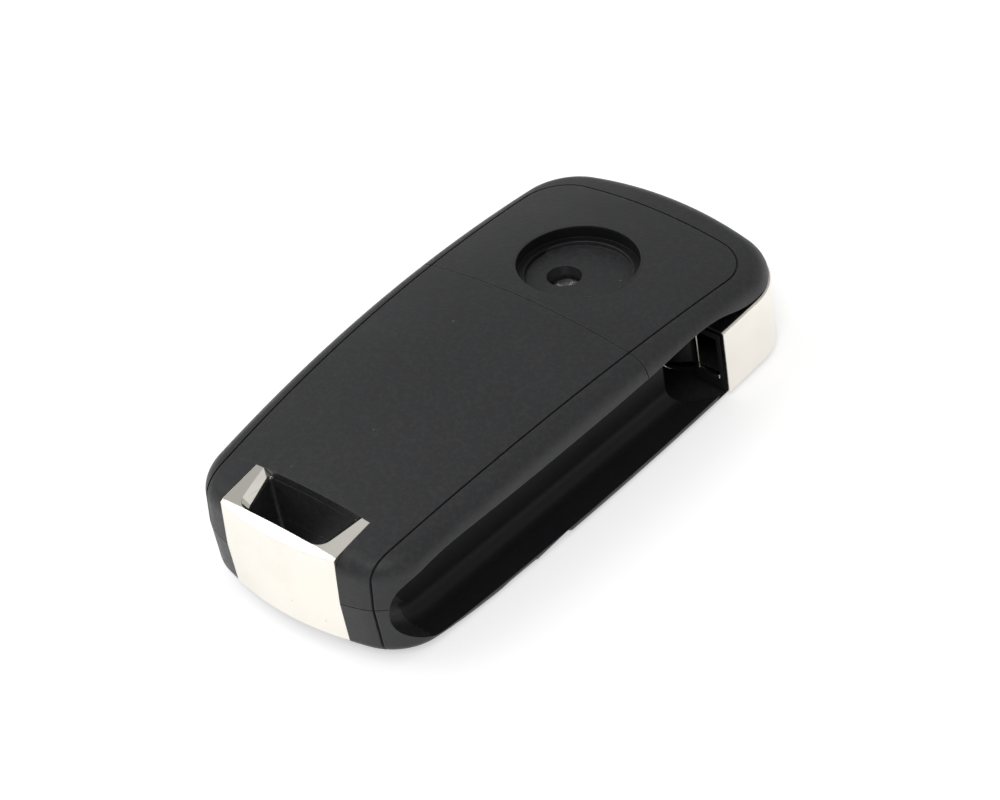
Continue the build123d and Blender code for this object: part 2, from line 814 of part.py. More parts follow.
def build_pieces():
    """All pieces of the key by name."""
    body = case_body(0)
    spaces = [case_hollow(), head_pocket(), channel_cutter(), groove_cutter()]
    shell = cut_away(body, spaces + ring_end_spaces())
    lock_place, unlock_place, boot_place = button_places()
    return {
        "front_housing": make_front_housing(shell),
        "battery_cover": make_battery_cover(shell),
        "head_back_cover": make_head_back_cover(body, spaces),
        "ring_clip": make_ring_clip(),
        "flip_head": make_flip_head(),
        "head_core": make_head_core(),
        "core_base": make_core_base(),
        "pivot_barrel": make_pivot_barrel(),
        "flip_spring": make_flip_spring(),
        "release_button": make_release_button(),
        "release_spring": make_release_spring(),
        "cover_screw": make_cover_screw(),
        "lock_button": make_button(*lock_place),
        "unlock_button": make_button(*unlock_place),
        "boot_button": make_button(*boot_place),
        "key_pad": make_key_pad(),
        "circuit_board": make_circuit_board(),
        "lock_switch": make_switch(*lock_place),
        "unlock_switch": make_switch(*unlock_place),
        "boot_switch": make_switch(*boot_place),
        "controller_chip": make_controller_chip(),
        "crystal": make_crystal(),
        "transponder_coil": make_transponder_coil(),
        "battery_tray": make_battery_tray(),
        "coin_cell": make_coin_cell(),
        "negative_contact": make_negative_contact(),
        "positive_contact": make_positive_contact(),
    }


for name, piece in build_pieces().items():
    export_step(piece, f"parts/{name}.step")
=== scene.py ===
import logging
import math
from dataclasses import dataclass, field, replace
from enum import Enum

import bpy
from bpy.types import Material, Mesh, Node, NodeSocket, NodeTree, Object
from mathutils import Matrix, Vector


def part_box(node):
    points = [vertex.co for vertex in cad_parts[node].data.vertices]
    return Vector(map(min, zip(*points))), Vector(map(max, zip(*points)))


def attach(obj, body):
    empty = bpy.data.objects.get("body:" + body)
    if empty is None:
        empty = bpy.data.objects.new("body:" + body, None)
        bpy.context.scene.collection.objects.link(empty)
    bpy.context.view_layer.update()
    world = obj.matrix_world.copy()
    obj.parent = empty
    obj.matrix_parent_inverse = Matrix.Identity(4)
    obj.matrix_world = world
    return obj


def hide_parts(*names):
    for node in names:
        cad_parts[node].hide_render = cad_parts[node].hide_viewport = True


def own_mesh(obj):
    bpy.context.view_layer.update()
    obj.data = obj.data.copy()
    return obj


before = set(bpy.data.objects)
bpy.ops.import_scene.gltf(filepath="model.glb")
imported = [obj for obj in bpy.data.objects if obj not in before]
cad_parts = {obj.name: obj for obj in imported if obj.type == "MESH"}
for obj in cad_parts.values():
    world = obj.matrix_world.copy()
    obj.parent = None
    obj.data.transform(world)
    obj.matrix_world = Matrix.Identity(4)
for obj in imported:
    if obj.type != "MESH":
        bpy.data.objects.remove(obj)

LOG = logging.getLogger("key_remote")
MM = 0.001


class Body(Enum):
    """Body that the added pieces move with."""

    CASE = "case"


class Kind(Enum):
    """Kinds of value that a node tree takes or gives."""

    NUMBER = "NodeSocketFloat"
    COUNT = "NodeSocketInt"
    VECTOR = "NodeSocketVector"
    GEOMETRY = "NodeSocketGeometry"


class Effect(Enum):
    """Surface effects that several finishes share."""

    GRAIN = "moulded_grain"
    MARKS = "handling_marks"
    EDGE = "rubbed_edge"
    RECESS = "inside_recess"
    DRAWN = "drawn_lines"
    TURNED = "turning_rings"


def paint(colour: tuple, factor: float = 1.0, lift: float = 0.0) -> tuple:
    """Give an opaque colour, made darker or lighter by a factor and a lift."""
    return tuple(min(1.0, factor * channel + lift) for channel in colour) + (1.0,)


def middle_of(node: str) -> tuple:
    """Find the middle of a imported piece, in millimetres."""
    corners = list(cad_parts[node].bound_box)
    return tuple(sum(c[axis] for c in corners) / len(corners) / MM for axis in range(3))


def linked(name: str, data: object) -> Object:
    """Make an object and link it to the scene.

    Args:
        name: Name of the object.
        data: Mesh, lamp or camera that it holds.

    Returns:
        The new object.
    """
    made = bpy.data.objects.new(name, data)
    bpy.context.scene.collection.objects.link(made)
    return made


def plain_mesh(piece: Object) -> Mesh:
    """Give a plain mesh of a piece as its modifiers leave it."""
    ready = piece.evaluated_get(bpy.context.evaluated_depsgraph_get())
    return bpy.data.meshes.new_from_object(ready)


class Nodes:
    """A node tree with short ways to lay nodes on it and join them."""

    def __init__(self, tree: NodeTree) -> None:
        """Keep the shader or geometry tree."""
        self.tree = tree

    def add(self, kind: str, feeds: dict | None = None, **settings: object) -> Node:
        """Add a node.

        Args:
            kind: Blender's type name of the node.
            feeds: What its inputs get, by name or number.
            settings: Properties to set on it.

        Returns:
            The new node.
        """
        node = self.tree.nodes.new(kind)
        for name, value in settings.items():
            setattr(node, name, value)
        self.fill(node, feeds or {})
        return node

    def lay(self, kind: str, feeds: dict | None = None, **settings: object) -> NodeSocket:
        """Add a node and give its first output."""
        return self.add(kind, feeds, **settings).outputs[0]

    def fill(self, node: Node, feeds: dict) -> None:
        """Feed several inputs of a node, by name or number."""
        for key, value in feeds.items():
            self.feed(node.inputs[key], value)

    def feed(self, socket: NodeSocket, value: object) -> None:
        """Give an input a link or a fixed value.

        Args:
            socket: Input to feed.
            value: Output socket, number, vector, colour or material.
        """
        if isinstance(value, NodeSocket):
            self.tree.links.new(value, socket)
        else:
            socket.default_value = value

    def maths(self, operation: str, first: object, *others: object, clamp: bool = False) -> NodeSocket:
        """Run one arithmetic operation over its values, two at a time from the left.

        Args:
            operation: Name of the operation.
            first: First number or socket.
            others: The numbers or sockets after it.
            clamp: Keep the last result between 0 and 1.

        Returns:
            Output socket with the result.
        """
        result = first
        for value in others or (0.0,):
            result = self.lay("ShaderNodeMath", {0: result, 1: value}, operation=operation)
        result.node.use_clamp = clamp
        return result

    def plus(self, *values: object, clamp: bool = False) -> NodeSocket:
        """Add numbers or sockets."""
        return self.maths("ADD", *values, clamp=clamp)

    def minus(self, *values: object) -> NodeSocket:
        """Take the later numbers or sockets from the first."""
        return self.maths("SUBTRACT", *values)

    def times(self, *values: object, clamp: bool = False) -> NodeSocket:
        """Multiply numbers or sockets."""
        return self.maths("MULTIPLY", *values, clamp=clamp)

    def scaled(self, value: object, factor: float, offset: object) -> NodeSocket:
        """Multiply and add in one node."""
        return self.lay("ShaderNodeMath", {0: value, 1: factor, 2: offset}, operation="MULTIPLY_ADD")

    def span(self, value: object, low: float, high: float,
             start: float = 0.0, end: float = 1.0) -> NodeSocket:
        """Map the range from low to high to the range from start to end, with soft ends."""
        feeds = dict(enumerate((value, low, high, start, end)))
        return self.lay("ShaderNodeMapRange", feeds, interpolation_type="SMOOTHSTEP")

    def noise(self, vector: NodeSocket, scale: object, detail: float = 2.0, rough: float = 0.5) -> NodeSocket:
        """Add cloudy noise with a scale in waves to the metre and finer layers."""
        feeds = {"Vector": vector, "Scale": scale, "Detail": detail, "Roughness": rough}
        return self.lay("ShaderNodeTexNoise", feeds)

    def cells(self, vector: NodeSocket, scale: object, feature: str = "F1") -> Node:
        """Add a cell pattern with a scale in cells to the metre."""
        return self.add("ShaderNodeTexVoronoi", {"Vector": vector, "Scale": scale}, feature=feature)

    def turned(self, vector: NodeSocket, turn: float, stretch: tuple,
               centre: tuple = (0, 0, 0)) -> NodeSocket:
        """Turn and stretch coordinates round a centre.

        Args:
            vector: Coordinates.
            turn: Turn round Z, in degrees.
            stretch: Factor along each axis.
            centre: Point that becomes the origin, in millimetres.

        Returns:
            Output socket with the new coordinates.
        """
        moved = self.lay("ShaderNodeMapping", {"Vector": vector, "Location": [-c * MM for c in centre]})
        feeds = {"Vector": moved, "Rotation": (0.0, 0.0, math.radians(turn)), "Scale": stretch}
        return self.lay("ShaderNodeMapping", feeds)

    def blend(self, share: object, a: object, b: object) -> NodeSocket:
        """Mix two colours by the share of the second."""
        return self.add("ShaderNodeMix", {0: share, 6: a, 7: b}, data_type="RGBA").outputs[2]

    def split(self, vector: NodeSocket) -> dict[str, NodeSocket]:
        """Split a vector into its parts X, Y and Z."""
        return {part.name: part for part in self.add("ShaderNodeSeparateXYZ", {0: vector}).outputs}

    def joined(self, *parts: object) -> NodeSocket:
        """Join up to three parts into a vector."""
        return self.lay("ShaderNodeCombineXYZ", dict(enumerate(parts)))


@dataclass(frozen=True)
class Port:
    """One named input or output of a node tree, with the value that it takes."""

    name: str
    value: object = None
    kind: Kind = Kind.NUMBER

    def add_to(self, tree: NodeTree, side: str) -> str:
        """Add the port to a tree.

        Args:
            tree: Tree that gets it.
            side: INPUT or OUTPUT.

        Returns:
            The socket's identifier.
        """
        made = tree.interface.new_socket(self.name, in_out=side, socket_type=self.kind.value)
        if self.value is not None:
            made.default_value = self.value
        return made.identifier


class Effects:
    """Surface effects that several finishes share, each built once as a node group."""

    def __init__(self) -> None:
        """Start with no groups."""
        self.made: dict[Effect, NodeTree] = {}

    def group(self, effect: Effect, takes: list[Port], gives: list[Port]) -> tuple[Nodes, Node, Node]:
        """Start a group that takes coordinates.

        Args:
            effect: The effect.
            takes: Its other inputs.
            gives: Its outputs.

        Returns:
            The group's nodes, its input node and its output node.
        """
        tree = bpy.data.node_groups.new(effect.value, "ShaderNodeTree")
        for port in (Port("Vector", kind=Kind.VECTOR), *takes):
            port.add_to(tree, "INPUT")
        for port in gives:
            port.add_to(tree, "OUTPUT")
        self.made[effect] = tree
        nodes = Nodes(tree)
        return nodes, nodes.add("NodeGroupInput"), nodes.add("NodeGroupOutput")

    def place(self, nodes: Nodes, effect: Effect, vector: NodeSocket, **values: float) -> Node:
        """Put an effect into a material.

        Args:
            nodes: The material's nodes.
            effect: The effect.
            vector: Coordinates.
            values: Other inputs by name, with spaces written as underscores.

        Returns:
            The group node.
        """
        if effect not in self.made:
            getattr(self, effect.value)()
        feeds = {"Vector": vector} | {key.replace("_", " "): value for key, value in values.items()}
        return nodes.add("ShaderNodeGroup", feeds, node_tree=self.made[effect])

    def moulded_grain(self) -> None:
        """Fine spark texture of a steel mould, as a height and a slow cloud."""
        pit_scale, pit_depth, cloud_scale = 0.55, 0.55, 70.0
        nodes, into, out = self.group(
            Effect.GRAIN, [Port("Pits to the metre", 5200.0)], [Port("Height"), Port("Cloud")]
        )
        vector, pits = into.outputs["Vector"], into.outputs["Pits to the metre"]
        fine = nodes.noise(vector, pits, 3.0, 0.62)
        pit = nodes.cells(vector, nodes.times(pits, pit_scale), "SMOOTH_F1").outputs["Distance"]
        cloud = nodes.noise(vector, cloud_scale, 3.0, 0.55)
        nodes.fill(out, {"Height": nodes.plus(fine, nodes.times(pit, pit_depth)), "Cloud": cloud})

    def handling_marks(self) -> None:
        """Hair scratches, dust specks and finger smudges, each as a mask."""
        hairs = ((24.0, 5200.0), (-38.0, 6100.0), (71.0, 4700.0))
        along, upward, patch_turn, patch = 210.0, 700.0, 9.0, (260.0, 170.0, 210.0)
        specks, speck_rarity, speck_size, smudges = 620.0, (0.972, 0.99), (0.06, 0.13), 160.0
        nodes, into, out = self.group(
            Effect.MARKS,
            [Port("Scratches", 0.5), Port("Dust", 0.5)],
            [Port("Scratch"), Port("Speck"), Port("Smudge")],
        )
        vector = into.outputs["Vector"]
        lines = []
        for turn, across in hairs:
            run = nodes.noise(nodes.turned(vector, turn, (across, along, upward)), 1.0, 0.0)
            where = nodes.noise(nodes.turned(vector, turn + patch_turn, patch), 1.0, 1.0)
            lines.append(nodes.times(nodes.span(run, 0.74, 0.82), nodes.span(where, 0.6, 0.7)))
        dots = nodes.cells(vector, specks)
        seed = nodes.lay("ShaderNodeSeparateColor", {0: dots.outputs["Color"]})
        chosen = nodes.span(seed, *speck_rarity)
        small = nodes.span(dots.outputs["Distance"], *speck_size, 1.0, 0.0)
        nodes.fill(out, {
            "Scratch": nodes.times(nodes.maths("MAXIMUM", *lines), into.outputs["Scratches"], clamp=True),
            "Speck": nodes.times(chosen, small, into.outputs["Dust"], clamp=True),
            "Smudge": nodes.span(nodes.noise(vector, smudges, 4.0, 0.6), 0.42, 0.7),
        })

    def rubbed_edge(self) -> None:
        """Mask and softened normal where a piece's edge has been rubbed."""
        breaks, turned_away = 900.0, (0.998, 0.94)
        nodes, into, out = self.group(
            Effect.EDGE, [Port("Width", 0.00015)], [Port("Mask"), Port("Normal", kind=Kind.VECTOR)]
        )
        soft = nodes.lay("ShaderNodeBevel", {"Radius": into.outputs["Width"]}, samples=6)
        face = nodes.add("ShaderNodeNewGeometry").outputs["Normal"]
        apart = nodes.add("ShaderNodeVectorMath", {0: soft, 1: face}, operation="DOT_PRODUCT")
        edge = nodes.span(apart.outputs["Value"], *turned_away)
        broken = nodes.span(nodes.noise(into.outputs["Vector"], breaks, 3.0, 0.6), 0.3, 0.62, 0.35, 1.0)
        nodes.fill(out, {"Mask": nodes.times(edge, broken, clamp=True), "Normal": soft})

    def inside_recess(self) -> None:
        """Mask of the smooth ledge and wall of the badge recess, where painted shade darkens the colour."""
        sizes = {"Middle": 0.0186, "Radius": 0.0082, "Floor radius": 0.0068, "Rim height": 0.01692,
                 "Tilt": 0.0943, "Depth": 0.0004}
        nodes, into, out = self.group(Effect.RECESS, [Port(*size) for size in sizes.items()], [Port("Mask")])
        size = into.outputs
        place = nodes.split(size["Vector"])
        along = nodes.minus(place["Y"], size["Middle"])
        squares = nodes.plus(nodes.maths("POWER", place["X"], 2.0), nodes.times(along, along))
        far = nodes.maths("SQRT", squares)
        inside = nodes.times(nodes.maths("LESS_THAN", far, size["Radius"]),
                             nodes.maths("GREATER_THAN", far, size["Floor radius"]))
        rim = nodes.minus(size["Rim height"], nodes.times(along, size["Tilt"]))
        reach = nodes.maths("DIVIDE", nodes.minus(rim, place["Z"]), size["Depth"])
        nodes.fill(out, {"Mask": nodes.times(inside, nodes.span(reach, 0.4, 1.6))})

    def drawn_lines(self) -> None:
        """Fine lines of drawn or rolled metal along X."""
        stretch = (0.02, 1.0, 1.0)
        nodes, into, out = self.group(Effect.DRAWN, [Port("Lines to the metre", 9000.0)], [Port("Height")])
        stretched = nodes.turned(into.outputs["Vector"], 0.0, stretch)
        nodes.fill(out, {"Height": nodes.noise(stretched, into.outputs["Lines to the metre"])})

    def turning_rings(self) -> None:
        """Fine rings left by a lathe round an upright axis."""
        nodes, into, out = self.group(Effect.TURNED, [Port("Lines to the metre", 5000.0)], [Port("Height")])
        feeds = {0: into.outputs["Vector"], 1: (1.0, 1.0, 0.0)}
        flat = nodes.lay("ShaderNodeVectorMath", feeds, operation="MULTIPLY")
        far = nodes.add("ShaderNodeVectorMath", {0: flat}, operation="LENGTH").outputs["Value"]
        nodes.fill(out, {"Height": nodes.noise(nodes.joined(far), into.outputs["Lines to the metre"], 1.0)})


EFFECTS = Effects()


@dataclass(frozen=True)
class Finish:
    """Base of every finish: a name and a record slot."""

    name: str
    slot: str

    def start(self) -> tuple[Material, Nodes, Node, NodeSocket]:
        """Make an empty material.

        Returns:
            The material, its nodes, its main shader and its object coordinates.
        """
        material = bpy.data.materials.new(self.name)
        material.use_nodes = True
        nodes = Nodes(material.node_tree)
        shader = next(n for n in material.node_tree.nodes if n.type == "BSDF_PRINCIPLED")
        return material, nodes, shader, nodes.add("ShaderNodeTexCoord").outputs["Object"]

    def bump(self, nodes: Nodes, height: NodeSocket, depth: float,
             normal: NodeSocket | None = None) -> NodeSocket:
        """Add relief.

        Args:
            nodes: The material's nodes.
            height: Relief from 0 to 1.
            depth: Depth of the relief in millimetres.
            normal: Normal that the relief lies on.

        Returns:
            Output socket with the new normal.
        """
        feeds = {"Distance": depth * MM, "Height": height}
        if normal is not None:
            feeds["Normal"] = normal
        return nodes.lay("ShaderNodeBump", feeds)


@dataclass(frozen=True)
class Moulding(Finish):
    """Moulded plastic or rubber with a fine grain, handling marks, rubbed edges and, where asked, painted
    shade in the badge recess.
    """

    tint: tuple
    rubbed: tuple
    rough: float = 0.46
    shine: float = 0.42
    pits: float = 5200.0
    depth: float = 0.012
    sparkle: float = 0.2
    scratches: float = 0.35
    dust: float = 0.3
    edge: float = 0.15
    recess: bool = False
    # Darkening of the badge recess: painted shade.
    recess_shade: float = 0.25
    lighter: tuple = (1.9, 0.002)
    cloud: float = 0.5
    rub: float = 0.5
    scratch: float = 0.55
    speck: tuple = (0.3, 0.295, 0.29)
    spread: tuple = (-0.05, 0.07)
    smudge: float = 0.05
    polish: float = 0.12

    def build(self) -> Material:
        """Make the material.

        Returns:
            The finished material.
        """
        material, nodes, shader, place = self.start()
        grain = EFFECTS.place(nodes, Effect.GRAIN, place, Pits_to_the_metre=self.pits)
        marks = EFFECTS.place(nodes, Effect.MARKS, place, Scratches=self.scratches, Dust=self.dust)
        edge = EFFECTS.place(nodes, Effect.EDGE, place, Width=self.edge * MM).outputs
        height, rubbed = grain.outputs["Height"], paint(self.rubbed)
        sparkle = nodes.times(nodes.span(height, 0.62, 0.98), self.sparkle)
        cloudy = nodes.plus(nodes.times(grain.outputs["Cloud"], self.cloud), sparkle, clamp=True)
        colour = nodes.blend(cloudy, paint(self.tint), paint(self.tint, *self.lighter))
        colour = nodes.blend(nodes.times(edge["Mask"], self.rub), colour, rubbed)
        colour = nodes.blend(nodes.times(marks.outputs["Scratch"], self.scratch), colour, rubbed)
        colour = nodes.blend(marks.outputs["Speck"], colour, paint(self.speck))
        rough_low, rough_high = (self.rough + step for step in self.spread)
        rough = nodes.minus(
            nodes.span(height, 0.4, 1.1, rough_low, rough_high),
            nodes.times(marks.outputs["Smudge"], self.smudge),
            nodes.times(edge["Mask"], self.polish),
        )
        if self.recess:
            sunk = EFFECTS.place(nodes, Effect.RECESS, place).outputs["Mask"]
            # Painted shade: the ledge and wall of the badge recess get a darkened copy of the tint; taking
            # the grain off there is real.
            colour = nodes.blend(sunk, colour, paint(self.tint, self.recess_shade))
            height = nodes.times(height, nodes.minus(1.0, sunk))
        shader.inputs["Specular IOR Level"].default_value = self.shine
        nodes.fill(shader, {
            "Base Color": colour,
            "Roughness": nodes.plus(rough, marks.outputs["Speck"], clamp=True),
            "Normal": self.bump(nodes, height, self.depth, edge["Normal"]),
        })
        return material


@dataclass(frozen=True)
class Plating(Finish):
    """Bright plating over moulded plastic, with slow ripples, hair scratches and a warm white."""

    tint: tuple
    rough: float = 0.1
    ripple: float = 0.006
    ripples: float = 240.0
    scratches: float = 0.7
    dust: float = 0.25
    edge: float = 0.12
    dull: float = 0.8
    smudge: float = 0.16
    smudge_rough: float = 0.1
    scratch_rough: float = 0.25
    scratch_depth: float = 0.3
    speck: tuple = (0.3, 0.29, 0.28)
    plated_to: float | None = None
    bare: tuple = (0.01, 0.01, 0.011)
    bare_rough: float = 0.5
    bare_shine: float = 0.15

    def build(self) -> Material:
        """Make the material, bare above the height that the plating ends at.

        Returns:
            The finished material.
        """
        material, nodes, shader, place = self.start()
        marks = EFFECTS.place(nodes, Effect.MARKS, place, Scratches=self.scratches, Dust=self.dust).outputs
        edge = EFFECTS.place(nodes, Effect.EDGE, place, Width=self.edge * MM)
        smudged = nodes.times(marks["Smudge"], self.smudge)
        colour = nodes.blend(smudged, paint(self.tint), paint(self.tint, self.dull))
        colour = nodes.blend(marks["Speck"], colour, paint(self.speck))
        rough = nodes.plus(nodes.scaled(marks["Smudge"], self.smudge_rough, self.rough),
                           nodes.times(marks["Scratch"], self.scratch_rough))
        plated = 1.0
        if self.plated_to is not None:
            plated = nodes.maths("LESS_THAN", nodes.split(place)["Z"], self.plated_to * MM)
            colour = nodes.blend(plated, paint(self.bare), colour)
            rough = nodes.plus(rough, nodes.scaled(plated, -self.bare_rough, self.bare_rough))
            shader.inputs["Specular IOR Level"].default_value = self.bare_shine
        slow = nodes.noise(place, self.ripples, 2.0, 0.4)
        height = nodes.minus(slow, nodes.times(marks["Scratch"], self.scratch_depth))
        nodes.fill(shader, {
            "Metallic": plated,
            "Base Color": colour,
            "Roughness": nodes.plus(rough, marks["Speck"], clamp=True),
            "Normal": self.bump(nodes, height, self.ripple, edge.outputs["Normal"]),
        })
        return material


@dataclass(frozen=True)
class Metal(Finish):
    """Bare metal with lathe rings or drawn lines, and slow stains."""

    tint: tuple
    rough: float = 0.28
    lathe: str | None = None
    lines: float = 9000.0
    depth: float = 0.004
    scratches: float = 0.8
    dust: float = 0.2
    stains: float = 420.0
    stain: float = 0.55
    spread: tuple = (-0.06, 0.1)
    smudge: float = 0.08

    def build(self) -> Material:
        """Make the material, with rings round the middle of the turned piece that it names.

        Returns:
            The finished material.
        """
        material, nodes, shader, place = self.start()
        marks = EFFECTS.place(nodes, Effect.MARKS, place, Scratches=self.scratches, Dust=self.dust)
        lay, where = Effect.DRAWN, place
        if self.lathe is not None:
            lay, where = Effect.TURNED, nodes.turned(place, 0.0, (1.0, 1.0, 1.0), middle_of(self.lathe))
        lines = EFFECTS.place(nodes, lay, where, Lines_to_the_metre=self.lines).outputs["Height"]
        stained = nodes.span(nodes.noise(place, self.stains, 4.0, 0.6), 0.5, 0.8)
        rough_low, rough_high = (self.rough + step for step in self.spread)
        rough = nodes.span(lines, 0.3, 0.7, rough_low, rough_high)
        nodes.fill(shader, {
            "Base Color": nodes.blend(stained, paint(self.tint), paint(self.tint, self.stain)),
            "Metallic": 1.0,
            "Roughness": nodes.plus(rough, nodes.times(marks.outputs["Smudge"], self.smudge), clamp=True),
            "Normal": self.bump(nodes, lines, self.depth),
        })
        return material


@dataclass(frozen=True)
class BoardLacquer(Finish):
    """Green solder lacquer over copper tracks, with tinned rings."""

    lacquer: tuple = (0.012, 0.105, 0.045)
    track: tuple = (0.03, 0.2, 0.075)
    tin: tuple = (0.62, 0.6, 0.55)
    tracks: float = 300.0
    rings: float = 330.0
    relief: float = 0.03

    def build(self) -> Material:
        """Make the material.

        Returns:
            The finished material.
        """
        material, nodes, shader, place = self.start()
        feeds = {"Vector": place, "Scale": self.tracks, "Mortar Size": 0.07, "Mortar Smooth": 0.12,
                 "Brick Width": 0.9, "Row Height": 0.37}
        bricks = nodes.add("ShaderNodeTexBrick", feeds, offset=0.37, squash=0.6, squash_frequency=3)
        tracks = nodes.times(bricks.outputs["Fac"], nodes.span(nodes.noise(place, 130.0), 0.42, 0.5))
        colour = nodes.blend(tracks, paint(self.lacquer), paint(self.track))
        dots = nodes.cells(place, self.rings)
        seed = nodes.lay("ShaderNodeSeparateColor", {0: dots.outputs["Color"]})
        ring = nodes.times(nodes.span(dots.outputs["Distance"], 0.1, 0.13, 1.0, 0.0),
                           nodes.span(seed, 0.8, 0.82))
        nodes.fill(shader, {
            "Base Color": nodes.blend(ring, colour, paint(self.tin)),
            "Metallic": ring,
            "Roughness": nodes.span(nodes.noise(place, 500.0), 0.3, 0.7, 0.22, 0.34),
            "Normal": self.bump(nodes, nodes.plus(tracks, ring), self.relief),
        })
        return material


class Palette:
    """The key's finishes, each made once."""

    SHELL = Moulding("satin_back_shell", "case_grey", (0.019, 0.0194, 0.0208), (0.085, 0.085, 0.087),
                     pits=3000.0, depth=0.03, sparkle=0.5, recess=True)
    HOUSING = Moulding("satin_front_shell", "case_black", (0.017, 0.0174, 0.0188), (0.08, 0.08, 0.082),
                       rough=0.44, pits=3000.0, depth=0.024, sparkle=0.4)
    # Painted shade: the channel linings have a darker tint and a weaker reflection than the shell, standing
    # in for the shade inside the blade channel; their smoother, less grained surface is real.
    SHELL_LINING_SHADED = Moulding("smooth_shaded_channel_roof", "case_grey", (0.0105, 0.0103, 0.0115), (0.03, 0.03, 0.03),
                            rough=0.4, shine=0.2, depth=0.002, scratches=0.2, dust=0.15)
    HOUSING_LINING_SHADED = replace(SHELL_LINING_SHADED, name="smooth_shaded_channel_wall", slot="case_black")
    CORE = Moulding("dull_head_core", "core_black", (0.01, 0.01, 0.011), (0.06, 0.06, 0.06),
                    rough=0.5, pits=3600.0, depth=0.016)
    BUTTON = Moulding("smooth_button", "button_black", (0.012, 0.012, 0.013), (0.08, 0.08, 0.08),
                      rough=0.3, pits=8000.0, depth=0.003, shine=0.5)
    PAD = Moulding("soft_key_pad", "pad_rubber", (0.022, 0.022, 0.022), (0.06, 0.06, 0.06),
                   rough=0.66, pits=2600.0, depth=0.01, shine=0.3)
    TRAY = Moulding("dull_tray", "tray_black", (0.02, 0.02, 0.02), (0.08, 0.08, 0.08), rough=0.55)
    CHIP = Moulding("chip_epoxy", "chip_black", (0.016, 0.016, 0.017), (0.07, 0.07, 0.07),
                    rough=0.5, pits=9000.0)
    CHROME = Plating("bright_plating", "bright_chrome", (0.95, 0.915, 0.84))
    CHROME_HEAD = Plating("bright_head_plating", "bright_chrome", (0.915, 0.88, 0.81), edge=0.3)
    CHROME_BUTTON = Plating("bright_button_plating", "bright_chrome_button", (0.93, 0.915, 0.88),
                            rough=0.14, plated_to=0.3)
    SCREW = Metal("screw_steel", "steel", (0.62, 0.62, 0.63), lathe="cover_screw")
    BARREL = Metal("barrel_steel", "steel", (0.6, 0.6, 0.61), lathe="pivot_barrel")
    SPRING = Metal("oiled_spring_wire", "spring_steel", (0.4, 0.39, 0.38), rough=0.34, lines=14000.0)
    SWITCH = Metal("pressed_switch_cover", "switch_metal", (0.66, 0.65, 0.63))
    CRYSTAL = Metal("crystal_can_metal", "crystal_can", (0.72, 0.71, 0.69), rough=0.22)
    CELL = Metal("coin_cell_steel", "cell_steel", (0.7, 0.69, 0.67), rough=0.24, lathe="coin_cell")
    CONTACT = Metal("sprung_contact", "contact_metal", (0.74, 0.68, 0.52), rough=0.26)
    WIRE = Metal("enamelled_wire", "coil_copper", (0.62, 0.26, 0.1), rough=0.3, lines=20000.0, depth=0.002)
    LEG = Metal("tinned_legs", "switch_metal", (0.7, 0.69, 0.66), rough=0.3, lines=16000.0, depth=0.002)
    COIL = Metal("coil_former", "coil_copper", (0.5, 0.22, 0.09), rough=0.4, lines=5000.0)
    BOARD = BoardLacquer("board_lacquer", "board_green")

    def __init__(self) -> None:
        """Start with no materials made."""
        self.made: dict[str, Material] = {}

    def get(self, finish: Finish) -> Material:
        """Give the material of a finish.

        Args:
            finish: The finish wanted.

        Returns:
            Its material, built on first use.
        """
        if finish.name not in self.made:
            self.made[finish.name] = finish.build()
        return self.made[finish.name]


class GeometryTree:
    """Base of the geometry node trees, whose named sizes are set on the pieces that wear them."""

    def __init__(self, name: str, sizes: list[Port], alters: bool) -> None:
        """Start the tree.

        Args:
            name: Name of the tree.
            sizes: Sizes that it takes.
            alters: Whether it works on the mesh of its piece.
        """
        self.name, self.sizes = name, sizes
        self.tree = bpy.data.node_groups.new(name, "GeometryNodeTree")
        geometry = Port("Geometry", kind=Kind.GEOMETRY)
        if alters:
            geometry.add_to(self.tree, "INPUT")
        self.keys = {size.name: size.add_to(self.tree, "INPUT") for size in sizes}
        geometry.add_to(self.tree, "OUTPUT")
        self.nodes = Nodes(self.tree)
        self.into = self.nodes.add("NodeGroupInput")
        self.out = self.nodes.add("NodeGroupOutput")

    def size(self, name: str) -> NodeSocket:
        """Give the socket of a named size."""
        return self.into.outputs[name]

    def close(self, geometry: NodeSocket) -> None:
        """End the tree with the geometry that it has made."""
        self.nodes.feed(self.out.inputs[0], geometry)

    def put_on(self, piece: Object) -> None:
        """Add the tree to a piece and set its sizes.

        Args:
            piece: Mesh object that gets it.
        """
        modifier = piece.modifiers.new(self.name, "NODES")
        modifier.node_group = self.tree
        for size in self.sizes:
            modifier[self.keys[size.name]] = size.value


class SmoothedMoulding(GeometryTree):
    """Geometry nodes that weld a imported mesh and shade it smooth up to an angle."""

    def __init__(self, angle: float = 28.0, weld: float = 0.002) -> None:
        """Build the tree once.

        Args:
            angle: Steepest fold that still looks smooth, in degrees.
            weld: Distance at which corners are joined, in millimetres.
        """
        super().__init__("smoothed_moulding", [], True)
        feeds = {"Geometry": self.into.outputs[0], "Distance": weld * MM}
        joined = self.nodes.lay("GeometryNodeMergeByDistance", feeds)
        faces = self.nodes.lay("GeometryNodeSetShadeSmooth", {"Geometry": joined}, domain="FACE")
        fold = self.nodes.add("GeometryNodeInputMeshEdgeAngle").outputs["Unsigned Angle"]
        feeds = {0: fold, 1: math.radians(angle)}
        soft = self.nodes.lay("FunctionNodeCompare", feeds, data_type="FLOAT", operation="LESS_EQUAL")
        feeds = {"Geometry": faces, "Shade Smooth": soft}
        self.close(self.nodes.lay("GeometryNodeSetShadeSmooth", feeds, domain="EDGE"))


